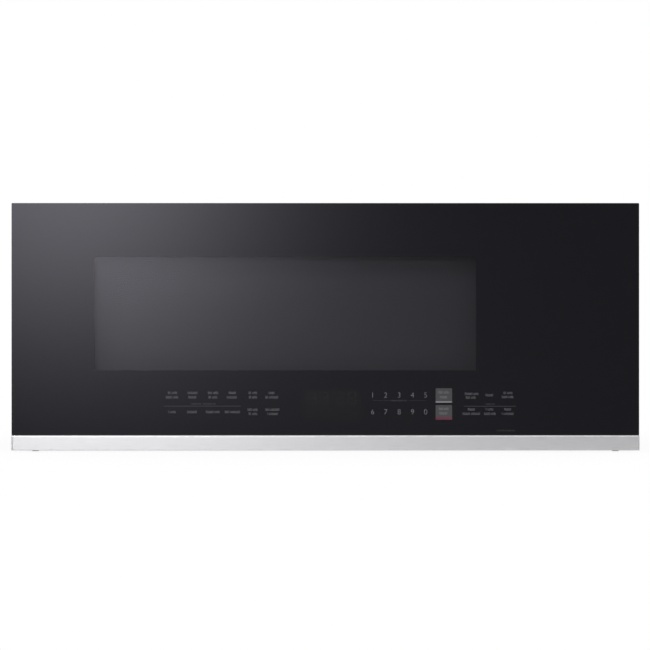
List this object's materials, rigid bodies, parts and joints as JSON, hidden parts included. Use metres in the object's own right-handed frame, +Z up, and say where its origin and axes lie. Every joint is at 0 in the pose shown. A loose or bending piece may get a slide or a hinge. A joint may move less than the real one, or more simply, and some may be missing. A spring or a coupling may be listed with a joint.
{
  "type": "over-the-range microwave oven",
  "caption": "Low-profile microwave oven that hangs over a cooktop, with a full-width glass door, touch controls, turntable, fan and grease filters.",
  "frame": {"origin": "middle of the bounding box's underside, on the floor plane under the feet", "axes": "+X to the right seen from the front, +Y from the door towards the wall, +Z up"},
  "size_m": [0.759, 0.48, 0.3025],
  "materials": {
    "black_glass": "gloss",
    "clear_glass": "clear",
    "silver_trim": "satin",
    "black_plastic": "fine grain",
    "grey_plastic": "satin",
    "white_plastic": "satin",
    "case_paint": "satin",
    "cavity_enamel": "satin enamel",
    "black_steel": "semi-gloss",
    "zinc_steel": "zinc plated",
    "bare_aluminium": "mill",
    "copper_winding": "enamelled wire",
    "board": "circuit board",
    "mica": "matte",
    "charcoal": "carbon mat",
    "rubber": "matte"
  },
  "bodies": {
    "cabinet": {"front_plate": "case_paint", "top_panel": "case_paint", "side_panels": "case_paint", "base_plate": "case_paint", "rear_panel": "zinc_steel", "base_feet": "rubber", "screws": "zinc_steel", "wall_mounting_plate": "zinc_steel", "top_bolt_nuts": "zinc_steel", "cord_gland": "black_plastic", "cavity_floor": "cavity_enamel", "cavity_walls": "cavity_enamel", "waveguide_cover": "mica", "waveguide": "zinc_steel", "steam_duct": "grey_plastic", "lamp_housings": "zinc_steel", "lamps": "clear_glass", "cooktop_lamp_lenses": "clear_glass", "turntable_motor": "zinc_steel", "magnetron_yoke": "zinc_steel", "magnetron_tube": "bare_aluminium", "transformer_core": "black_steel", "transformer_coils": "copper_winding", "high_voltage_parts": "bare_aluminium", "fan_shroud": "grey_plastic", "fan_motor": "black_steel", "blower_housings": "zinc_steel", "blower_motor": "black_steel", "circuit_boards": "board", "thermal_cutouts": "black_plastic", "latch_board": "grey_plastic", "interlock_switches": "black_plastic", "top_vent_grille": "black_plastic", "charcoal_filter": "charcoal", "exhaust_cover": "zinc_steel", "hinge_brackets": "zinc_steel"},
    "door": {"door_glass": "black_glass", "door_trim": "silver_trim", "trim_end_caps": "silver_trim", "door_frame": "black_plastic", "door_panel": "black_steel", "door_screen": "black_steel", "inner_window": "clear_glass", "door_rear_cover": "black_plastic", "control_board": "board", "display_and_touch_film": "black_plastic", "hinge_bushes": "white_plastic", "latch_spring": "zinc_steel"},
    "latch": {"latch_key": "grey_plastic"},
    "plungers": {"switch_plungers": "white_plastic"},
    "coupler": {"turntable_coupler": "white_plastic"},
    "tray": {"glass_turntable": "clear_glass"},
    "ring": {"roller_ring": "white_plastic"},
    "roller_a": {"roller_1": "white_plastic"},
    "roller_b": {"roller_2": "white_plastic"},
    "roller_c": {"roller_3": "white_plastic"},
    "fan": {"cooling_fan": "white_plastic"},
    "blower": {"blower_wheels": "grey_plastic"},
    "filter_left": {"grease_filter_left": "bare_aluminium"},
    "filter_right": {"grease_filter_right": "bare_aluminium"}
  },
  "joints": [
    {"name": "door_hinge", "type": "hinge", "parent": "cabinet", "child": "door", "pos_m": [-0.3685, -0.212, 0.16], "axis": [0, 0, -1], "range_deg": [0, 105]},
    {"name": "latch_lift", "type": "slide", "parent": "door", "child": "latch", "axis": [0, 0, 1], "range_m": [0, 0.004], "stiffness_N_per_m": 300, "springref_m": -0.004, "deforming": ["latch_spring"]},
    {"name": "plunger_travel", "type": "slide", "parent": "cabinet", "child": "plungers", "axis": [0, -1, 0], "range_m": [0, 0.0012]},
    {"name": "turntable_spin", "type": "hinge", "parent": "cabinet", "child": "coupler", "pos_m": [-0.0488, -0.0295, 0.075], "axis": [0, 0, 1], "continuous": true},
    {"name": "turntable_lift", "type": "slide", "parent": "coupler", "child": "tray", "axis": [0, 0, 1], "range_m": [0, 0.06]},
    {"name": "ring_spin", "type": "hinge", "parent": "cabinet", "child": "ring", "pos_m": [-0.0488, -0.0295, 0.0785], "axis": [0, 0, 1], "continuous": true},
    {"name": "roller_a_spin", "type": "hinge", "parent": "ring", "child": "roller_a", "pos_m": [-0.0488, 0.0754, 0.0785], "axis": [0, 1, 0], "continuous": true},
    {"name": "roller_b_spin", "type": "hinge", "parent": "ring", "child": "roller_b", "pos_m": [-0.13965, -0.08195, 0.0785], "axis": [-0.866, -0.5, 0], "continuous": true},
    {"name": "roller_c_spin", "type": "hinge", "parent": "ring", "child": "roller_c", "pos_m": [0.04205, -0.08195, 0.0785], "axis": [0.866, -0.5, 0], "continuous": true},
    {"name": "cooling_fan_spin", "type": "hinge", "parent": "cabinet", "child": "fan", "pos_m": [0.3076, 0.11, 0.215], "axis": [0, 1, 0], "continuous": true},
    {"name": "blower_spin", "type": "hinge", "parent": "cabinet", "child": "blower", "pos_m": [0, 0.185, 0.222], "axis": [1, 0, 0], "continuous": true},
    {"name": "filter_left_tilt", "type": "hinge", "parent": "cabinet", "child": "filter_left", "pos_m": [-0.13, 0.131, 0.0083], "axis": [1, 0, 0], "range_deg": [0, 75]},
    {"name": "filter_right_tilt", "type": "hinge", "parent": "cabinet", "child": "filter_right", "pos_m": [0.13, 0.131, 0.0083], "axis": [1, 0, 0], "range_deg": [0, 75]}
  ],
  "couplings": [
    {"joint": "plunger_travel", "follows": "door_hinge", "m_per_rad": 0.00065415},
    {"joint": "ring_spin", "follows": "turntable_spin", "ratio": 0.5},
    {"joint": "roller_a_spin", "follows": "turntable_spin", "ratio": -6.3963},
    {"joint": "roller_b_spin", "follows": "turntable_spin", "ratio": -6.3963},
    {"joint": "roller_c_spin", "follows": "turntable_spin", "ratio": -6.3963}
  ]
}
